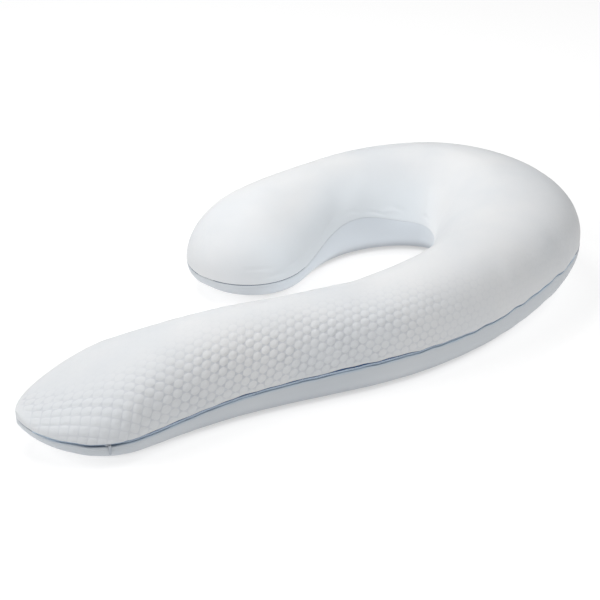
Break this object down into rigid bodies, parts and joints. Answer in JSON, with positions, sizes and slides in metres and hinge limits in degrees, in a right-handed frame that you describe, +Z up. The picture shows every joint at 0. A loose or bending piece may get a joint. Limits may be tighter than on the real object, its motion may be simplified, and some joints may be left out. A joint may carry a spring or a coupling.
{
  "type": "body pillow",
  "caption": "Hooked full-length body pillow: a fibre-filled tube with a wide bend and a short return arm, drawn in along its side seam, with a blue zip in the outer seam.",
  "frame": {"origin": "on the surface the pillow rests on, under the middle of its bounding box", "axes": "+X along the longest side, from the tail end to the bend; +Z up, out of the quilted face; the hook curls back on the +Y side"},
  "size_m": [1.3794, 0.7603, 0.2418],
  "materials": {
    "pillow_cover": "soft quilted knit above, smooth woven below",
    "zip_tape": "woven tape",
    "zip_coil": "nylon coil",
    "zip_metal": "plated"
  },
  "bodies": {
    "root": {"pillow_body": "pillow_cover", "zip_tape_upper": "zip_tape", "zip_tape_lower": "zip_tape", "zip_coil": "zip_coil", "zip_slider": "zip_metal", "zip_pull": "zip_metal"}
  },
  "joints": []
}
